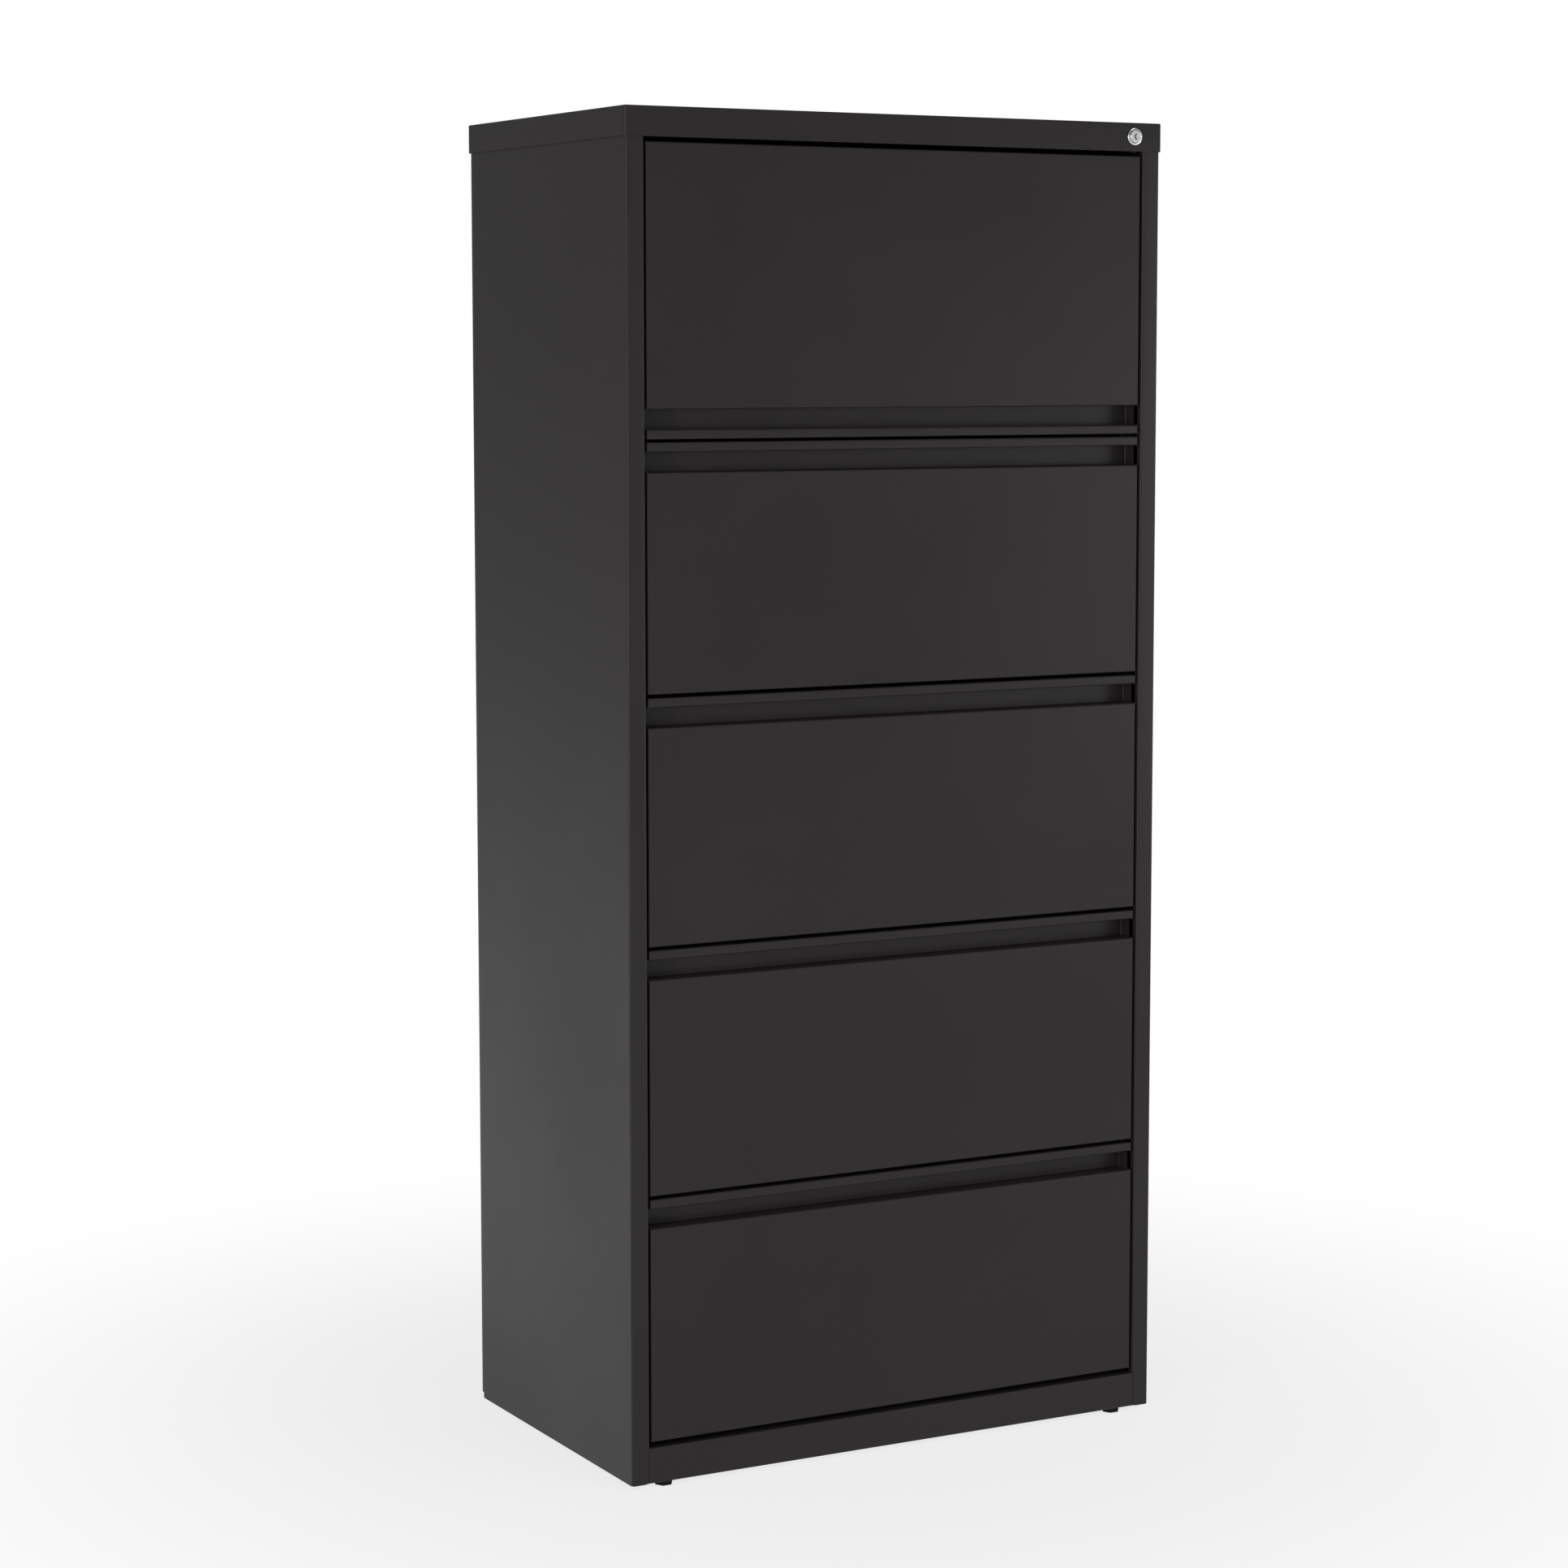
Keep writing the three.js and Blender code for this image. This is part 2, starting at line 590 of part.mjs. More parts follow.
function foldedFront(plainEdge, pullEdge) {
  const up = Math.sign(pullEdge - plainEdge);
  const inner = up * SHEET / 2;
  const face = FACE_Y + SHEET / 2;
  const wall = FACE_Y + PULL_DEPTH + SHEET / 2;
  const lipEdge = pullEdge - up * PULL_LIP;
  const panelEdge = lipEdge - up * PULL_HEIGHT;
  const sheet = foldedSheet([
    [face + FRONT_FLANGE, plainEdge + inner],
    [face, plainEdge + inner],
    [face, panelEdge - inner],
    [wall, panelEdge - inner],
    [wall, pullEdge - inner],
    [face, pullEdge - inner],
    [face, lipEdge + inner],
    [face + HEM_WIDTH, lipEdge + inner],
    [face + HEM_WIDTH, lipEdge + up * HEM_LENGTH],
  ]);
  const [low, high] = [Math.min(plainEdge, pullEdge), Math.max(plainEdge, pullEdge)];
  const ends = SIDES.map(([, side]) => {
    const edge = side * (HALF_FRONT - SHEET / 2);
    const back = PULL_BACK_Y - SHEET / 2 - WELD;
    const flange = foldedSheet([
      [edge, FACE_Y + WELD],
      [edge, back],
      [edge - side * RETURN_FLANGE, back],
    ]);
    return alongZ(flange, low + WELD, high - WELD);
  });
  const half = HALF_FRONT - WELD;
  const reach = HALF_FRONT + CUT_MARGIN;
  const depth = FACE_Y + PULL_END_CUT;
  const [cutStart, cutEnd] = [panelEdge + up * WELD, lipEdge - up * WELD];
  const endCut = new THREE.Shape();
  endCut.moveTo(FACE_Y - CUT_MARGIN, cutStart);
  endCut.lineTo(depth - PULL_END_ROUND, cutStart);
  endCut.quadraticCurveTo(depth, cutStart, depth, cutStart + up * PULL_END_ROUND);
  endCut.lineTo(depth, cutEnd);
  endCut.lineTo(FACE_Y - CUT_MARGIN, cutEnd);
  const corners = SIDES.flatMap(([, side]) => [[high, 1], [low, -1]].map(([z, way]) => {
    const corner = cornerCut(side * HALF_FRONT, z, way, FRONT_CORNER);
    return alongY(corner, FACE_Y - CUT_MARGIN, PULL_BACK_Y + CUT_MARGIN);
  }));
  return cut(
    joined(alongX(sheet, -half, half), ...ends),
    alongX(endCut, -reach, reach),
    ...corners,
  );
}

// Telescopic slides, as outlines seen from the front

// A channel whose web is webInset from the slide's cabinet face and whose flanges reach to flangeInset
function slideChannel(side, middle, height, webInset, flangeInset) {
  const place = (inset) => side * (SLIDE_FACE - inset);
  const flange = (height - SLIDE_SHEET) / 2;
  return foldedSheet([
    [place(flangeInset), middle + flange],
    [place(webInset), middle + flange],
    [place(webInset), middle - flange],
    [place(flangeInset), middle - flange],
  ], SLIDE_SHEET, SLIDE_BEND);
}

const MEMBER_STEP = SLIDE_SHEET + SLIDE_PLAY;

function slideMembers(side, middle, height) {
  const half = SLIDE_SHEET / 2;
  const reach = SLIDE_WIDTH - SLIDE_LIP;
  return {
    outer: slideChannel(side, middle, height, half, reach),
    mid: slideChannel(side, middle, height - 2 * MEMBER_STEP, MEMBER_STEP + half, reach),
    inner: slideChannel(
      side,
      middle,
      height - 4 * MEMBER_STEP,
      SLIDE_WIDTH - half + WELD,
      2 * MEMBER_STEP + SLIDE_LIP,
    ),
  };
}

// Drawers

const CATCH_Y = BAR_Y + HOOK_THICK + CATCH_SETBACK;

function drawerBodyGeometry(bottom) {
  const [front, back] = [DRAWER_FRONT_Y, DRAWER_FRONT_Y + DRAWER_LENGTH];
  const low = bottom + DRAWER_FLOOR_LIFT;
  const high = low + DRAWER_SIDE_HEIGHT;
  const inside = HALF_DRAWER - SHEET;
  const flanges = inside - DRAWER_TOP_FLANGE;
  const tray = cut(
    block([-HALF_DRAWER, HALF_DRAWER], [front, back], [low, high]),
    block([-inside, inside], [front + SHEET, back - SHEET], [low + SHEET, high - SHEET]),
    block(
      [-flanges, flanges],
      [front + SHEET, back - SHEET],
      [high - CUT_MARGIN, high + CUT_MARGIN],
    ),
  );
  const slideY = FRONT_Y + SLIDE_FRONT;
  const members = SIDES.map(([, side]) => {
    const { inner } = slideMembers(side, bottom + SLIDE_RISE, SLIDE_HEIGHT);
    return alongY(inner, slideY, Math.min(slideY + SLIDE_LENGTH, back));
  });
  const catchTop = bottom + HOOK_RISE - HOOK_GAP;
  const lockCatch = block(
    [HALF_DRAWER - SHEET / 2, HALF_DRAWER + CATCH_REACH],
    [CATCH_Y, CATCH_Y + HOOK_THICK],
    [catchTop - CATCH_HEIGHT, catchTop],
  );
  return joined(tray, ...members, lockCatch);
}

function fileBarGeometry(bottom) {
  const top = bottom + DRAWER_FLOOR_LIFT + DRAWER_SIDE_HEIGHT;
  const y0 = DRAWER_FRONT_Y + SHEET + FILE_BAR_DEPTH;
  const y1 = y0 + FILE_BAR_THICK;
  const inside = HALF_DRAWER - SHEET;
  const bladeHalf = inside - DRAWER_TOP_FLANGE - FILE_BAR_PLAY;
  const tabTop = top + SEAT_GAP + FILE_BAR_THICK;
  const outline = polygon([
    [-bladeHalf, top - FILE_BAR_HEIGHT],
    [bladeHalf, top - FILE_BAR_HEIGHT],
    [bladeHalf, top + SEAT_GAP],
    [inside, top + SEAT_GAP],
    [inside, tabTop],
    [-inside, tabTop],
    [-inside, top + SEAT_GAP],
    [-bladeHalf, top + SEAT_GAP],
  ]);
  return alongY(outline, y0, y1);
}

// Shelf behind the door

const SHELF_LOW = DOOR_BOTTOM + SHELF_CLEARANCE;
const SHELF_SLIDE_MIDDLE = DOOR_BOTTOM + SHELF_SLIDE_HEIGHT / 2;

function shelfGeometry() {
  const [front, back] = [FRONT_Y + SHELF_FRONT, FRONT_Y + SHELF_FRONT + SHELF_LENGTH];
  const top = SHELF_LOW + SHELF_DEPTH;
  const inside = HALF_DRAWER - SHEET;
  const tray = cut(
    block([-HALF_DRAWER, HALF_DRAWER], [front, back], [SHELF_LOW, top]),
    block(
      [-inside, inside],
      [front + SHEET, back - SHEET],
      [SHELF_LOW - CUT_MARGIN, top - SHEET],
    ),
  );
  const members = SIDES.map(([, side]) => {
    const { inner } = slideMembers(side, SHELF_SLIDE_MIDDLE, SHELF_SLIDE_HEIGHT);
    return alongY(inner, front, back);
  });
  return joined(tray, ...members);
}

// Door

function doorGeometry() {
  const reach = HALF_FRONT + CUT_MARGIN;
  const pivotHole = rod(
    X_AXIS, -reach, reach, PIVOT_RADIUS + PIVOT_PLAY, [0, PIVOT_Y, PIVOT_Z], PIN_SIDES,
  );
  return cut(foldedFront(DOOR_TOP, DOOR_BOTTOM), pivotHole);
}

function doorLinerGeometry() {
  const half = HALF_FRONT - SHEET - LINER_MARGIN;
  const back = PULL_BACK_Y - SHEET - SEAT_GAP;
  const low = DOOR_BOTTOM + PULL_LIP + PULL_HEIGHT + LINER_MARGIN;
  const high = DOOR_TOP - SHEET - LINER_MARGIN;
  const pan = foldedSheet([
    [back - FRONT_FLANGE / 2, low + SHEET / 2],
    [back - SHEET / 2, low + SHEET / 2],
    [back - SHEET / 2, high - SHEET / 2],
    [back - FRONT_FLANGE / 2, high - SHEET / 2],
  ]);
  return alongX(pan, -half, half);
}

function trackGeometry(side) {
  const web = side * (TRACK_FACE + CARRIAGE_WIDTH + TRACK_PLAY + TRACK_SHEET / 2);
  const face = side * TRACK_FACE;
  const flange = TRACK_HALF - TRACK_SHEET / 2;
  const channel = foldedSheet([
    [face, PIVOT_Z + flange],
    [web, PIVOT_Z + flange],
    [web, PIVOT_Z - flange],
    [face, PIVOT_Z - flange],
  ], TRACK_SHEET, SLIDE_BEND);
  const front = FRONT_Y + SHEET + SEAT_GAP;
  return alongY(channel, front, front + TRACK_LENGTH);
}

function carriageGeometry(side) {
  const body = block(
    [side * TRACK_FACE, side * (TRACK_FACE + CARRIAGE_WIDTH)],
    [PIVOT_Y - CARRIAGE_FRONT, PIVOT_Y + CARRIAGE_BACK],
    [PIVOT_Z - CARRIAGE_HEIGHT / 2, PIVOT_Z + CARRIAGE_HEIGHT / 2],
  );
  const ends = [side * (HALF_FRONT - SHEET - PIVOT_REACH), side * (TRACK_FACE + CARRIAGE_WIDTH / 2)];
  const pin = rod(
    X_AXIS,
    Math.min(...ends),
    Math.max(...ends),
    PIVOT_RADIUS,
    [0, PIVOT_Y, PIVOT_Z],
    PIN_SIDES,
  );
  return joined(body, pin);
}

function crossBarGeometry() {
  const half = TRACK_FACE - SEAT_GAP;
  const y0 = PIVOT_Y + CROSS_BAR_FRONT + SHEET / 2;
  const y1 = y0 + CROSS_BAR_WIDTH - SHEET;
  const z0 = PIVOT_Z - CROSS_BAR_HEIGHT / 2 + SHEET / 2;
  const z1 = z0 + CROSS_BAR_HEIGHT - SHEET;
  const channel = foldedSheet([[y0, z0], [y0, z1], [y1, z1], [y1, z0]]);
  return alongX(channel, -half, half);
}

// Lock, turned about its own axis from the front face back

function turnedAboutLock(profile, sides = ROUND_SIDES) {
  const points = profile.map(([radius, y]) => new THREE.Vector2(radius, y));
  return new THREE.LatheGeometry(points, sides).translate(LOCK_X, 0, LOCK_Z);
}

function clipProngs() {
  return [LOCK_X - CLIP_SPREAD / 2 - CLIP_PRONG, LOCK_X + CLIP_SPREAD / 2 + CLIP_PRONG];
}

function lockHousingGeometry() {
  const skirt = FRONT_Y - CAP_PROUD;
  const face = skirt - BEZEL_PROUD;
  const seat = skirt - SEAT_GAP;
  const back = FRONT_Y + BARREL_LENGTH;
  const bore = PLUG_RADIUS + PLUG_PLAY;
  const rim = [];
  for (let step = 0; step <= BEND_STEPS; step += 1) {
    const turn = Math.PI / 2 * step / BEND_STEPS;
    rim.push([
      BEZEL_RADIUS - BEZEL_ROUND * (1 - Math.sin(turn)),
      face + BEZEL_ROUND * (1 - Math.cos(turn)),
    ]);
  }
  const barrel = turnedAboutLock([
    [bore, face + BEZEL_GROOVE],
    [BEZEL_MOUTH, face],
    ...rim,
    [BEZEL_RADIUS, seat],
    [BARREL_RADIUS, seat],
    [BARREL_RADIUS, back],
    [bore, back],
    [bore, face + BEZEL_GROOVE],
  ]);
  const [low, high] = clipProngs();
  const clipY = [FRONT_Y + SHEET + SEAT_GAP, FRONT_Y + SHEET + SEAT_GAP + CLIP_PRONG];
  const prongZ = [CAP_BOTTOM - CLIP_REACH, LOCK_Z - PLUG_RADIUS - PLUG_PLAY - SHEET];
  const prongs = [
    block([low, low + CLIP_PRONG], clipY, prongZ),
    block([high - CLIP_PRONG, high], clipY, prongZ),
  ];
  return joined(barrel, ...prongs);
}

function lockPlugGeometry() {
  const face = FRONT_Y - LOCK_PROUD;
  const back = CAM_Y - SEAT_GAP;
  const plug = turnedAboutLock([
    [0, face],
    [PLUG_RADIUS - PLUG_CHAMFER, face],
    [PLUG_RADIUS, face + PLUG_CHAMFER],
    [PLUG_RADIUS, back],
    [0, back],
  ]);
  const half = KEYWAY_WIDTH / 2;
  const keyway = polygon([
    [LOCK_X + KEYWAY_BEND / 2 - half, LOCK_Z + KEYWAY_HEIGHT / 2],
    [LOCK_X - KEYWAY_BEND / 2 - half, LOCK_Z],
    [LOCK_X + KEYWAY_BEND / 2 - half, LOCK_Z - KEYWAY_HEIGHT / 2],
    [LOCK_X + KEYWAY_BEND / 2 + half, LOCK_Z - KEYWAY_HEIGHT / 2],
    [LOCK_X - KEYWAY_BEND / 2 + half, LOCK_Z],
    [LOCK_X + KEYWAY_BEND / 2 + half, LOCK_Z + KEYWAY_HEIGHT / 2],
  ]);
  return cut(plug, alongY(keyway, face - CUT_MARGIN, face + KEYWAY_DEPTH));
}

const PIN_X = LOCK_X + PIN_THROW * Math.cos(PIN_ANGLE);
const PIN_Z = LOCK_Z + PIN_THROW * Math.sin(PIN_ANGLE);

function lockCamGeometry() {
  const outline = new THREE.Shape();
  outline.absarc(LOCK_X, LOCK_Z, CAM_HUB_RADIUS, PIN_ANGLE + Math.PI / 2, PIN_ANGLE + Math.PI * 1.5);
  outline.absarc(PIN_X, PIN_Z, CAM_TIP_RADIUS, PIN_ANGLE - Math.PI / 2, PIN_ANGLE + Math.PI / 2);
  const plate = alongY(outline, CAM_Y, CAM_Y + CAM_THICK);
  const pinBack = BAR_Y + BAR_THICK + SEAT_GAP;
  const pin = rod(Y_AXIS, CAM_Y + CAM_THICK / 2, pinBack, PIN_RADIUS, [PIN_X, 0, PIN_Z], PIN_SIDES);
  return joined(plate, pin);
}

function lockBarGeometry() {
  const outside = HALF_INSIDE - SEAT_GAP;
  const inside = outside - BAR_THICK;
  const arm = [PIN_Z - BAR_ARM_HEIGHT / 2, PIN_Z + BAR_ARM_HEIGHT / 2];
  const strip = block(
    [inside, outside],
    [BAR_Y, BAR_Y + BAR_WIDTH],
    [drawerBottom(DRAWER_COUNT) + HOOK_RISE, arm[1]],
  );
  const armPlate = block([LOCK_X, outside], [BAR_Y, BAR_Y + BAR_THICK], arm);
  const slotHalf = PIN_RADIUS + PIN_PLAY;
  const slot = block(
    [PIN_X - slotHalf, LOCK_X + PIN_THROW + slotHalf],
    [BAR_Y - CUT_MARGIN, BAR_Y + BAR_THICK + CUT_MARGIN],
    [PIN_Z - slotHalf, PIN_Z + slotHalf],
  );
  const hooks = [];
  for (let number = 1; number <= DRAWER_COUNT; number += 1) {
    const low = drawerBottom(number) + HOOK_RISE;
    hooks.push(block(
      [HALF_DRAWER + CATCH_REACH / 2, outside],
      [BAR_Y, BAR_Y + HOOK_THICK],
      [low, low + HOOK_HEIGHT],
    ));
  }
  return cut(joined(strip, armPlate, ...hooks), slot);
}

// Assembly

addPart('top_cap', capGeometry(), blackPaint);
addPart('back_panel', backPanelGeometry(), blackPaint);
addPart('base_front_rail', railGeometry(), blackPaint);
addPart('bottom_pan', bottomPanGeometry(), blackPaint);
addPart('base_counterweight', counterweightGeometry(), rawSteel);
for (const [name, x, y] of [...frontFootPlaces, ...rearFootPlaces]) {
  addPart(name, footGeometry(x, y), blackPlastic);
}
for (const [label, side] of SIDES) {
  addPart(`${label}_side_panel`, sidePanelGeometry(side), blackPaint);
  addPart(`front_${label}_upright`, postGeometry(side, FRONT_POST), blackPaint);
  addPart(`rear_${label}_upright`, postGeometry(side, REAR_POST), blackPaint);
  addPart(`door_track_${label}`, trackGeometry(side), zincSteel);
  addPart(`door_carriage_${label}`, carriageGeometry(side), blackPlastic);
}

for (let number = 1; number <= DRAWER_COUNT; number += 1) {
  const bottom = drawerBottom(number);
  const name = `drawer_${number}`;
  addPart(`${name}_front`, foldedFront(bottom, bottom + DRAWER_HEIGHT), blackPaint);
  addPart(`${name}_body`, drawerBodyGeometry(bottom), blackPaint);
  addPart(`${name}_file_bar`, fileBarGeometry(bottom), zincSteel);
  for (const [label, side] of SIDES) {
    const { outer, mid } = slideMembers(side, bottom + SLIDE_RISE, SLIDE_HEIGHT);
    const ends = [FRONT_Y + SLIDE_FRONT, FRONT_Y + SLIDE_FRONT + SLIDE_LENGTH];
    addPart(`${name}_slide_outer_${label}`, alongY(outer, ...ends), zincSteel);
    addPart(`${name}_slide_mid_${label}`, alongY(mid, ...ends), zincSteel);
  }
}

addPart('roll_out_shelf', shelfGeometry(), blackPaint);
for (const [label, side] of SIDES) {
  const { outer, mid } = slideMembers(side, SHELF_SLIDE_MIDDLE, SHELF_SLIDE_HEIGHT);
  const ends = [FRONT_Y + SHELF_FRONT, FRONT_Y + SHELF_FRONT + SHELF_LENGTH];
  addPart(`shelf_slide_outer_${label}`, alongY(outer, ...ends), zincSteel);
  addPart(`shelf_slide_mid_${label}`, alongY(mid, ...ends), zincSteel);
}

addPart('flip_door', doorGeometry(), blackPaint);
addPart('flip_door_liner', doorLinerGeometry(), blackPaint);
addPart('door_cross_bar', crossBarGeometry(), zincSteel);
addPart('lock_housing', lockHousingGeometry(), chrome);
addPart('lock_plug', lockPlugGeometry(), chrome);
addPart('lock_cam', lockCamGeometry(), zincSteel);
addPart('lock_bar', lockBarGeometry(), zincSteel);

export default cabinet;
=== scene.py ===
import json
import math

import bpy
from mathutils import Euler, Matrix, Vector


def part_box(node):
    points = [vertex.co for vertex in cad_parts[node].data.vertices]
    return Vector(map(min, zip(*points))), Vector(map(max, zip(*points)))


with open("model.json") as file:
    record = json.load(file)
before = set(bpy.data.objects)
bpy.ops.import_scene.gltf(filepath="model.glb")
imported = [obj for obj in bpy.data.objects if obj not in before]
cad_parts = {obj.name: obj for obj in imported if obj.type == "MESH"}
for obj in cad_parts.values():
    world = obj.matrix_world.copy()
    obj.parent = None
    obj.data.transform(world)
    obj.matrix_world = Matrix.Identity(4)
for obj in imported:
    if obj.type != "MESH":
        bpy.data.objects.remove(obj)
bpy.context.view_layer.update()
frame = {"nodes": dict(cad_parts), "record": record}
nodes = frame["nodes"]

# Camera: the photograph's viewing angle, with the image taken as 1932 x 1932
IMAGE = 1932
FOCAL_PIXELS = 4572.7
SENSOR = 36.0
CAMERA_PLACE = (-2.3248, -4.2133, 1.3850)
CAMERA_YAW = 28.825
CAMERA_PITCH = -5.975
CAMERA_SHIFT = (-0.0165, -0.025)
CAMERA_CLIP_END = 1000.0

# Edges of the sheet metal
WELD_DISTANCE = 2e-6
SHARP_ANGLE = 38.0
FACE_WEIGHT = 50

# The parts of a noise's range that are spread over a finish's two colours or roughnesses
WIDE_SPAN = (0.2, 0.8)
SCRATCH_SPAN = (0.25, 0.75)
CLOUD_SPAN = (0.3, 0.7)
TIGHT_SPAN = (0.35, 0.65)

# Black powder coat
PAINT_COLOURS = ((0.0200, 0.0165, 0.0175, 1), (0.0240, 0.0202, 0.0213, 1))
PAINT_ROUGHNESS = (0.34, 0.41)
PAINT_IOR = 1.3
PAINT_GRAIN = dict(scale=1400, detail=3.0, roughness=0.6)
PAINT_PEEL = dict(scale=420, detail=2.0, roughness=0.5)
PAINT_CLOUD = dict(scale=2.6, detail=3.0, roughness=0.55)
PAINT_SPECK = dict(scale=2600, detail=1.0, roughness=0.5)
PAINT_CLOUD_SHARE = 0.7
PAINT_SPECK_SHARE = 0.3
PAINT_GRAIN_HEIGHT = 0.4
PAINT_BUMP = dict(strength=0.18, distance=0.00012)

# Zinc plated steel
ZINC_COLOURS = ((0.37, 0.375, 0.385, 1), (0.50, 0.50, 0.51, 1))
ZINC_ROUGHNESS = (0.28, 0.48)
ZINC_CLOUD = dict(scale=45, detail=4.0, roughness=0.6)
ZINC_BRUSHED = dict(scale=900, detail=2.0, roughness=0.5, stretch=(1, 0.04, 1))
ZINC_BUMP = dict(strength=0.12, distance=0.0001)

# Lock: chrome on its face; below the cap and inside the cabinet, near-black dull steel that is painted shade
CHROME_COLOURS = ((0.70, 0.70, 0.71, 1), (0.80, 0.80, 0.81, 1))
SHADED_STEEL_COLOURS = ((0.05, 0.05, 0.05, 1), (0.09, 0.09, 0.09, 1))
CHROME_ROUGHNESS = (0.16, 0.3)
CHROME_SCRATCHES = dict(scale=1500, detail=2.0, roughness=0.6, stretch=(0.15, 1, 1))
CHROME_CLOUD = dict(scale=160, detail=3.0, roughness=0.5)
CHROME_BUMP = dict(strength=0.05, distance=0.00005)

# Black plastic
PLASTIC_COLOURS = ((0.003, 0.003, 0.0032, 1), (0.006, 0.006, 0.0063, 1))
PLASTIC_ROUGHNESS = (0.45, 0.62)
PLASTIC_IOR = 1.25
PLASTIC_GRAIN = dict(scale=1800, detail=3.0, roughness=0.6)
PLASTIC_CLOUD = dict(scale=30, detail=2.0, roughness=0.5)
PLASTIC_BUMP = dict(strength=0.25, distance=0.00012)

# Bare steel with mill scale
BAR_COLOURS = ((0.055, 0.05, 0.047, 1), (0.14, 0.12, 0.105, 1))
BAR_ROUGHNESS = (0.5, 0.75)
BAR_METALLIC = 0.7
BAR_SCALE = dict(scale=55, detail=5.0, roughness=0.65)
BAR_PITS = dict(scale=700, detail=3.0, roughness=0.6)
BAR_BUMP = dict(strength=0.4, distance=0.0003)

BLACK = (0, 0, 0, 1)
WHITE = (1, 1, 1, 1)

# Studio floor: how much of what is seen of it is plain white, and where it fades into the walls, by the
# distance from the object
FLOOR_SIZE = 1000.0
FLOOR_COLOUR = (0.58, 0.58, 0.58, 1)
FLOOR_WHITE_SPAN = (0.35, 1.7)
FLOOR_WHITE_LEVELS = (0.79, 1.0)
FLOOR_FADE_SPAN = (4.0, 80.0)
# The place from which the floor's direction to the walls is taken
FLOOR_EYE = (0, -3.0, 0)

# Studio walls and ceiling: the ceiling's level by the height of the direction, and for each darker wall its
# direction and its level by the cosine of the angle from there
CEILING_SPAN = (0.12, 0.42)
CEILING_LEVELS = (1.0, 0.3)
WALLS = (
    ((-0.9, 0.436, 0), (0.41, 0.73), (1.0, 0.26)),
    ((0.48, -0.88, 0), (0.3, 0.9), (1.0, 0.5)),
)

# Lamps: the overhead one's angle is in degrees
OVERHEAD = dict(place=(1.0, -2.4, 4.0), aim=(0, 0, 0), strength=0.6, angle=30)
SOFTBOXES = {
    "front_right": dict(place=(4.3, -3.6, 1.05), aim=(0, 0, 1.0), size=(1.5, 1.0), power=44),
    "front_left": dict(place=(-3.4, -3.6, 2.0), aim=(0, 0, 1.1), size=(2.0, 1.8), power=33),
    "left": dict(place=(-4.3, -2.3, 0.95), aim=(0, 0, 0.9), size=(0.6, 1.6), power=72),
}


def tree_of(owner):
    owner.use_nodes = True
    owner.node_tree.nodes.clear()
    return owner.node_tree


def add_node(tree, kind, **values):
    node = tree.nodes.new(kind)
    for name, value in values.items():
        setattr(node, name, value)
    return node


def feed(tree, value, socket):
    """Give a socket a plain value or another socket's output."""
    if isinstance(value, (int, float, tuple)):
        socket.default_value = value
    else:
        tree.links.new(value, socket)


def math_node(tree, operation, first, second):
    node = add_node(tree, "ShaderNodeMath", operation=operation)
    feed(tree, first, node.inputs[0])
    feed(tree, second, node.inputs[1])
    return node.outputs[0]


def vector_node(tree, operation, *vectors):
    node = add_node(tree, "ShaderNodeVectorMath", operation=operation)
    for vector, socket in zip(vectors, node.inputs):
        feed(tree, vector, socket)
    return node.outputs


def ramp(tree, value, span, levels=(0.0, 1.0), kind="SMOOTHSTEP"):
    node = add_node(tree, "ShaderNodeMapRange", interpolation_type=kind)
    feed(tree, value, node.inputs["Value"])
    node.inputs["From Min"].default_value, node.inputs["From Max"].default_value = span
    node.inputs["To Min"].default_value, node.inputs["To Max"].default_value = levels
    return node.outputs["Result"]


def mix_colour(tree, factor, first, second):
    node = add_node(tree, "ShaderNodeMix", data_type="RGBA")
    feed(tree, factor, node.inputs["Factor"])
    feed(tree, first, node.inputs["A"])
    feed(tree, second, node.inputs["B"])
    return node.outputs["Result"]


def noise(tree, scale, detail, roughness, stretch=(1, 1, 1)):
    place = add_node(tree, "ShaderNodeTexCoord")
    mapping = add_node(tree, "ShaderNodeMapping")
    mapping.inputs["Scale"].default_value = stretch
    texture = add_node(tree, "ShaderNodeTexNoise")
    tree.links.new(place.outputs["Object"], mapping.inputs["Vector"])
    tree.links.new(mapping.outputs["Vector"], texture.inputs["Vector"])
    texture.inputs["Scale"].default_value = scale
    texture.inputs["Detail"].default_value = detail
    texture.inputs["Roughness"].default_value = roughness
    return texture.outputs["Fac"]


def surface(name):
    material = bpy.data.materials.new(name)
    tree = tree_of(material)
    output = add_node(tree, "ShaderNodeOutputMaterial")
    shader = add_node(tree, "ShaderNodeBsdfPrincipled")
    tree.links.new(shader.outputs["BSDF"], output.inputs["Surface"])
    return material, tree, shader


def bumped(tree, shader, height, strength, distance):
    bump = add_node(tree, "ShaderNodeBump")
    bump.inputs["Strength"].default_value = strength
    bump.inputs["Distance"].default_value = distance
    tree.links.new(height, bump.inputs["Height"])
    tree.links.new(bump.outputs["Normal"], shader.inputs["Normal"])


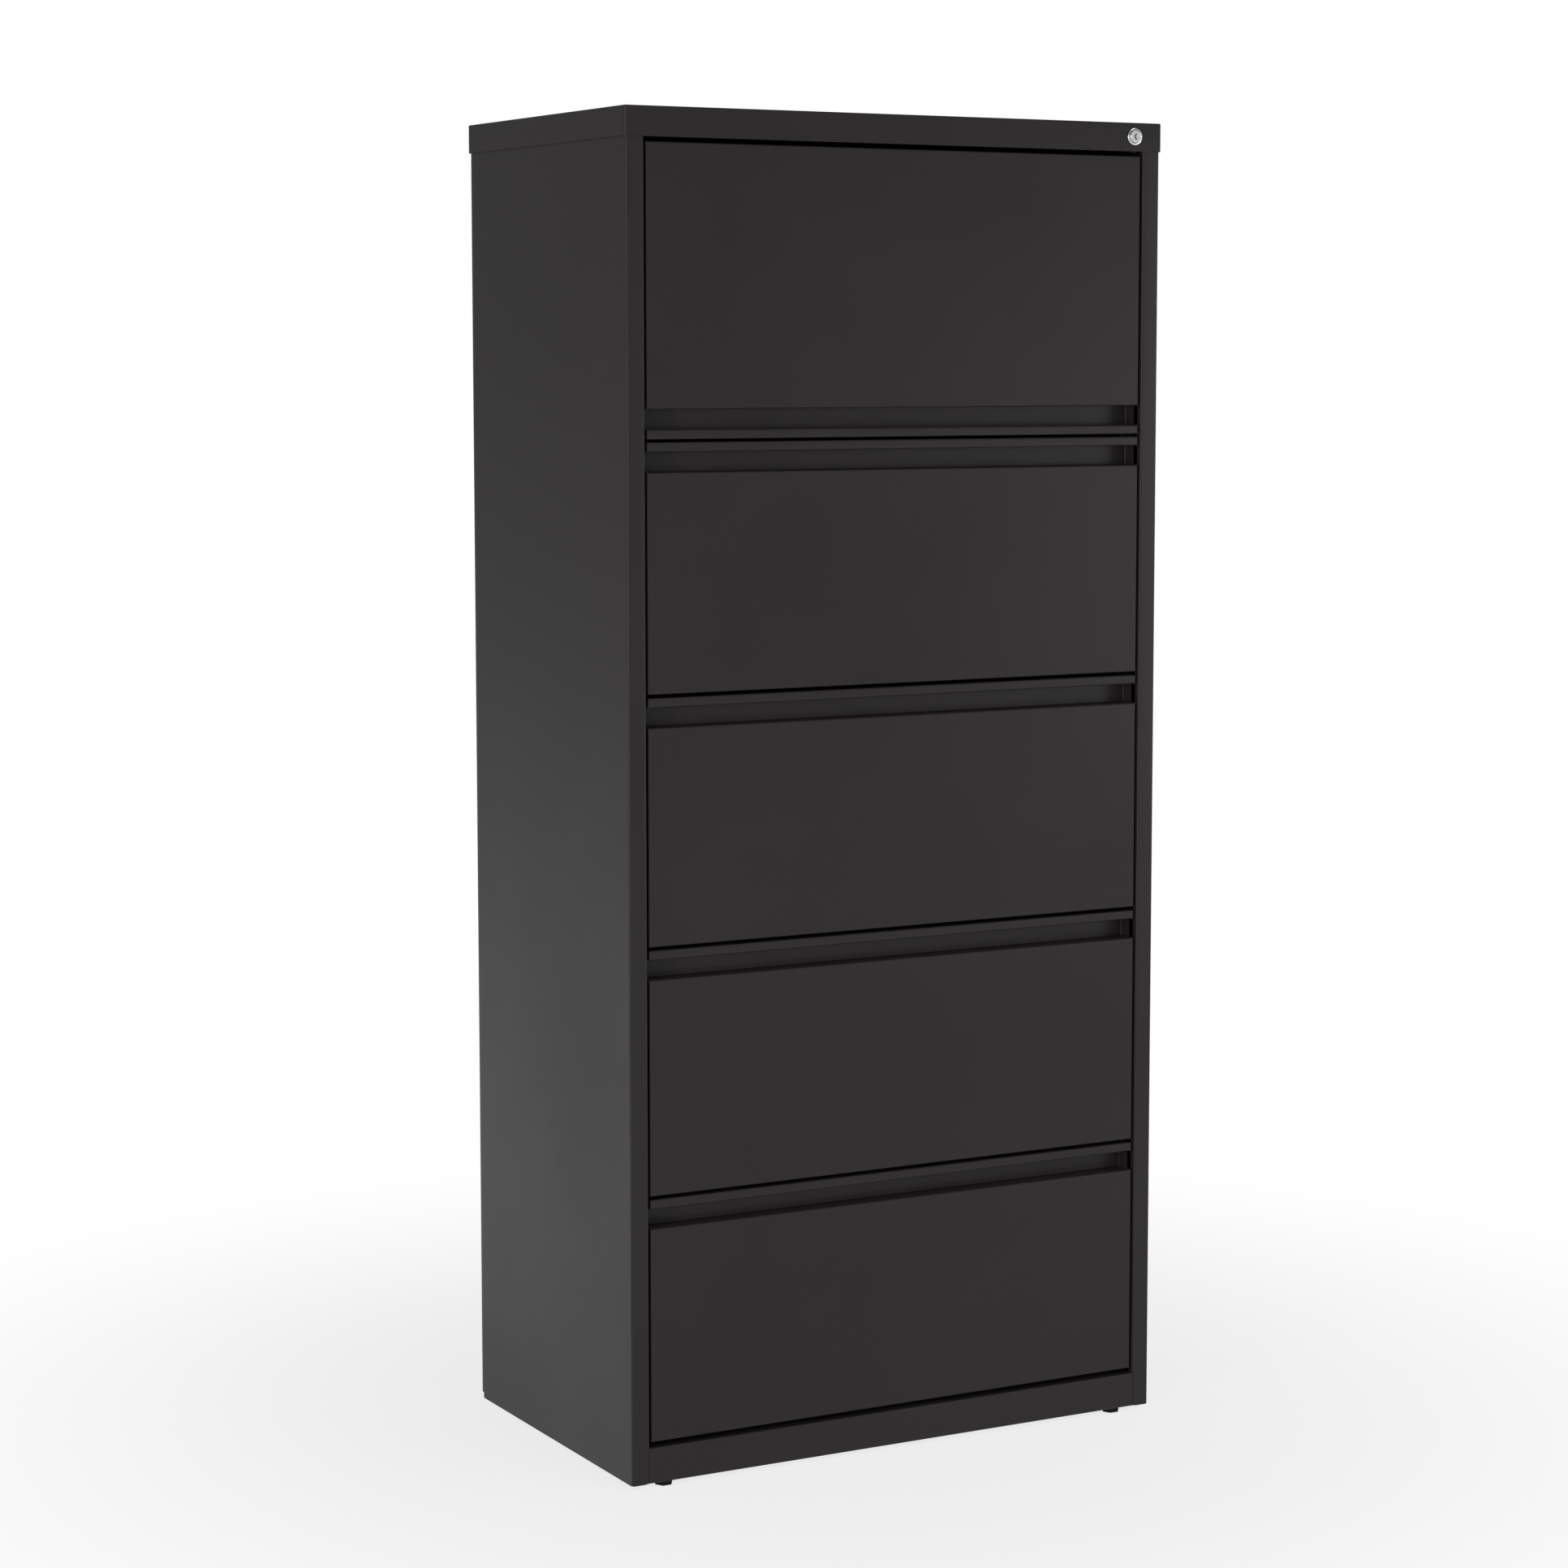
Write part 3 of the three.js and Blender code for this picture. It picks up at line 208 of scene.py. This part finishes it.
def powder_coat(name):
    material, tree, shader = surface(name)
    grain = noise(tree, **PAINT_GRAIN)
    peel = noise(tree, **PAINT_PEEL)
    cloud = noise(tree, **PAINT_CLOUD)
    speck = noise(tree, **PAINT_SPECK)
    clouded = math_node(tree, "MULTIPLY", cloud, PAINT_CLOUD_SHARE)
    specked = math_node(tree, "MULTIPLY", speck, PAINT_SPECK_SHARE)
    shade = ramp(tree, math_node(tree, "ADD", clouded, specked), TIGHT_SPAN, kind="LINEAR")
    feed(tree, mix_colour(tree, shade, *PAINT_COLOURS), shader.inputs["Base Color"])
    feed(tree, ramp(tree, cloud, CLOUD_SPAN, PAINT_ROUGHNESS), shader.inputs["Roughness"])
    shader.inputs["IOR"].default_value = PAINT_IOR
    height = math_node(tree, "ADD", math_node(tree, "MULTIPLY", grain, PAINT_GRAIN_HEIGHT), peel)
    bumped(tree, shader, height, **PAINT_BUMP)
    return material


def zinc_plate(name):
    material, tree, shader = surface(name)
    shade = ramp(tree, noise(tree, **ZINC_CLOUD), CLOUD_SPAN)
    brushed = noise(tree, **ZINC_BRUSHED)
    feed(tree, mix_colour(tree, shade, *ZINC_COLOURS), shader.inputs["Base Color"])
    feed(tree, ramp(tree, brushed, WIDE_SPAN, ZINC_ROUGHNESS), shader.inputs["Roughness"])
    shader.inputs["Metallic"].default_value = 1.0
    bumped(tree, shader, brushed, **ZINC_BUMP)
    return material


def satin_chrome(name, shaded_below, shaded_behind):
    """Chrome, with near-black dull steel below a height and behind a depth: painted shade on the parts
    there.
    """
    material, tree, shader = surface(name)
    scratches = noise(tree, **CHROME_SCRATCHES)
    shade = ramp(tree, noise(tree, **CHROME_CLOUD), CLOUD_SPAN)
    plate = mix_colour(tree, shade, *CHROME_COLOURS)
    steel = mix_colour(tree, shade, *SHADED_STEEL_COLOURS)
    place = add_node(tree, "ShaderNodeTexCoord")
    parts = add_node(tree, "ShaderNodeSeparateXYZ")
    tree.links.new(place.outputs["Object"], parts.inputs[0])
    below = math_node(tree, "LESS_THAN", parts.outputs["Z"], shaded_below)
    behind = math_node(tree, "GREATER_THAN", parts.outputs["Y"], shaded_behind)
    # painted shade: parts below the cap or behind the front get near-black steel in place of chrome
    bare = math_node(tree, "MAXIMUM", below, behind)
    feed(tree, mix_colour(tree, bare, plate, steel), shader.inputs["Base Color"])
    feed(tree, ramp(tree, scratches, SCRATCH_SPAN, CHROME_ROUGHNESS), shader.inputs["Roughness"])
    shader.inputs["Metallic"].default_value = 1.0
    bumped(tree, shader, scratches, **CHROME_BUMP)
    return material


def moulded_plastic(name):
    material, tree, shader = surface(name)
    grain = noise(tree, **PLASTIC_GRAIN)
    shade = ramp(tree, noise(tree, **PLASTIC_CLOUD), CLOUD_SPAN)
    feed(tree, mix_colour(tree, shade, *PLASTIC_COLOURS), shader.inputs["Base Color"])
    feed(tree, ramp(tree, grain, CLOUD_SPAN, PLASTIC_ROUGHNESS), shader.inputs["Roughness"])
    shader.inputs["IOR"].default_value = PLASTIC_IOR
    bumped(tree, shader, grain, **PLASTIC_BUMP)
    return material


def bare_bar(name):
    material, tree, shader = surface(name)
    scale = noise(tree, **BAR_SCALE)
    pits = noise(tree, **BAR_PITS)
    shade = ramp(tree, scale, TIGHT_SPAN)
    feed(tree, mix_colour(tree, shade, *BAR_COLOURS), shader.inputs["Base Color"])
    feed(tree, ramp(tree, scale, CLOUD_SPAN, BAR_ROUGHNESS), shader.inputs["Roughness"])
    shader.inputs["Metallic"].default_value = BAR_METALLIC
    bumped(tree, shader, pits, **BAR_BUMP)
    return material


def smooth_bends_group():
    """Node group that joins split corners and shades the bends round, with crisp sheet edges."""
    group = bpy.data.node_groups.new("smooth_bends", "GeometryNodeTree")
    group.interface.new_socket("Geometry", in_out="INPUT", socket_type="NodeSocketGeometry")
    group.interface.new_socket("Geometry", in_out="OUTPUT", socket_type="NodeSocketGeometry")
    start = add_node(group, "NodeGroupInput")
    end = add_node(group, "NodeGroupOutput")
    weld = add_node(group, "GeometryNodeMergeByDistance")
    weld.inputs["Distance"].default_value = WELD_DISTANCE
    angle = add_node(group, "GeometryNodeInputMeshEdgeAngle")
    sharp = add_node(group, "FunctionNodeCompare", data_type="FLOAT", operation="GREATER_THAN")
    sharp.inputs["B"].default_value = math.radians(SHARP_ANGLE)
    normal = add_node(group, "GeometryNodeSetMeshNormal", mode="SHARPNESS")
    group.links.new(start.outputs[0], weld.inputs["Geometry"])
    group.links.new(weld.outputs["Geometry"], normal.inputs["Mesh"])
    group.links.new(angle.outputs["Unsigned Angle"], sharp.inputs["A"])
    group.links.new(sharp.outputs["Result"], normal.inputs["Edge Sharpness"])
    group.links.new(normal.outputs["Mesh"], end.inputs[0])
    return group


def soften(node, group):
    smooth = node.modifiers.new("smooth_bends", "NODES")
    smooth.node_group = group
    weighted = node.modifiers.new("flat_sheets", "WEIGHTED_NORMAL")
    weighted.mode = "FACE_AREA"
    weighted.weight = FACE_WEIGHT
    weighted.keep_sharp = True


def dress_nodes():
    finishes = {
        "black_paint": powder_coat("black_powder_coat"),
        "zinc_steel": zinc_plate("zinc_plated_steel"),
        # the chrome is painted near-black as shade below the cap's bottom and behind the side panels' front
        "chrome": satin_chrome("satin_chrome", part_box("top_cap")[0][2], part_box("left_side_panel")[0][1]),
        "black_plastic": moulded_plastic("moulded_black_plastic"),
        "raw_steel": bare_bar("bare_steel_bar"),
    }
    slots = {part["node"]: part["material_slot"] for part in frame["record"]["subparts"]}
    group = smooth_bends_group()
    for name, node in nodes.items():
        node.data.materials.clear()
        node.data.materials.append(finishes[slots[name]])
        soften(node, group)


def add_camera():
    data = bpy.data.cameras.new("photo_camera")
    data.sensor_width = SENSOR
    data.lens = FOCAL_PIXELS / IMAGE * SENSOR
    data.shift_x, data.shift_y = CAMERA_SHIFT
    data.clip_end = CAMERA_CLIP_END
    camera = bpy.data.objects.new("photo_camera", data)
    camera.location = CAMERA_PLACE
    turn = (math.radians(90 + CAMERA_PITCH), 0, math.radians(-CAMERA_YAW))
    camera.rotation_euler = Euler(turn, "XYZ")
    bpy.context.scene.collection.objects.link(camera)
    bpy.context.scene.camera = camera


def seen_directly(tree):
    """1 for rays from the camera, mirror reflections and glass, 0 for light that falls on things."""
    path = add_node(tree, "ShaderNodeLightPath").outputs
    direct = math_node(tree, "MAXIMUM", path["Is Camera Ray"], path["Is Transmission Ray"])
    return math_node(tree, "MAXIMUM", direct, path["Is Glossy Ray"])


def wall_level(tree, direction):
    """How bright the studio's walls are in a direction."""
    level = None
    for toward, span, levels in WALLS:
        wall = ramp(tree, vector_node(tree, "DOT_PRODUCT", direction, toward)["Value"], span, levels)
        level = wall if level is None else math_node(tree, "MULTIPLY", level, wall)
    return level


def floor_level(tree, place, away):
    """1 near the object, and the level of the wall behind it far away."""
    toward = vector_node(tree, "NORMALIZE", vector_node(tree, "SUBTRACT", place, FLOOR_EYE)["Vector"])
    begins, ends = (1 / distance for distance in FLOOR_FADE_SPAN)
    fade = ramp(tree, math_node(tree, "DIVIDE", 1.0, away), (ends, begins), (1.0, 0.0))
    dark = math_node(tree, "SUBTRACT", 1.0, wall_level(tree, toward["Vector"]))
    return math_node(tree, "SUBTRACT", 1.0, math_node(tree, "MULTIPLY", fade, dark))


def white_floor(name):
    """Pale paint that takes the object's shadow, and plain white where the floor is seen away from it."""
    material = bpy.data.materials.new(name)
    tree = tree_of(material)
    output = add_node(tree, "ShaderNodeOutputMaterial")
    paint = add_node(tree, "ShaderNodeBsdfDiffuse")
    white = add_node(tree, "ShaderNodeEmission")
    place = add_node(tree, "ShaderNodeTexCoord").outputs["Object"]
    away = vector_node(tree, "LENGTH", place)["Value"]
    level = floor_level(tree, place, away)
    feed(tree, mix_colour(tree, level, BLACK, FLOOR_COLOUR), paint.inputs["Color"])
    feed(tree, level, white.inputs["Strength"])
    far = ramp(tree, away, FLOOR_WHITE_SPAN, FLOOR_WHITE_LEVELS)
    mix = add_node(tree, "ShaderNodeMixShader")
    feed(tree, math_node(tree, "MULTIPLY", far, seen_directly(tree)), mix.inputs[0])
    tree.links.new(paint.outputs[0], mix.inputs[1])
    tree.links.new(white.outputs[0], mix.inputs[2])
    tree.links.new(mix.outputs[0], output.inputs["Surface"])
    return material


def add_floor():
    half = FLOOR_SIZE / 2
    corners = [(-half, -half, 0), (half, -half, 0), (half, half, 0), (-half, half, 0)]
    mesh = bpy.data.meshes.new("studio_floor")
    mesh.from_pydata(corners, [], [(0, 1, 2, 3)])
    floor = bpy.data.objects.new("studio_floor", mesh)
    bpy.context.scene.collection.objects.link(floor)
    mesh.materials.append(white_floor("white_floor"))


def add_world():
    world = bpy.data.worlds.new("studio")
    bpy.context.scene.world = world
    tree = tree_of(world)
    output = add_node(tree, "ShaderNodeOutputWorld")
    background = add_node(tree, "ShaderNodeBackground")
    background.inputs["Color"].default_value = WHITE
    direction = add_node(tree, "ShaderNodeTexCoord").outputs["Generated"]
    parts = add_node(tree, "ShaderNodeSeparateXYZ")
    tree.links.new(direction, parts.inputs[0])
    ceiling = ramp(tree, parts.outputs["Z"], CEILING_SPAN, CEILING_LEVELS)
    level = math_node(tree, "MULTIPLY", ceiling, wall_level(tree, direction))
    tree.links.new(level, background.inputs["Strength"])
    tree.links.new(background.outputs[0], output.inputs["Surface"])


def add_lamp(name, data, place, aim):
    lamp = bpy.data.objects.new(name, data)
    lamp.location = place
    lamp.rotation_euler = (Vector(aim) - Vector(place)).to_track_quat("-Z", "Y").to_euler()
    bpy.context.scene.collection.objects.link(lamp)


def add_softbox(name, place, aim, size, power):
    data = bpy.data.lights.new(name, "AREA")
    data.shape = "RECTANGLE"
    data.size, data.size_y = size
    data.energy = power
    add_lamp(name, data, place, aim)


def add_overhead(place, aim, strength, angle):
    data = bpy.data.lights.new("overhead", "SUN")
    data.energy = strength
    data.angle = math.radians(angle)
    add_lamp("overhead", data, place, aim)


def add_lights():
    add_overhead(**OVERHEAD)
    for name, values in SOFTBOXES.items():
        add_softbox(name, **values)


add_camera()
dress_nodes()
add_floor()
add_world()
add_lights()
bpy.context.scene.view_settings.view_transform = "Standard"
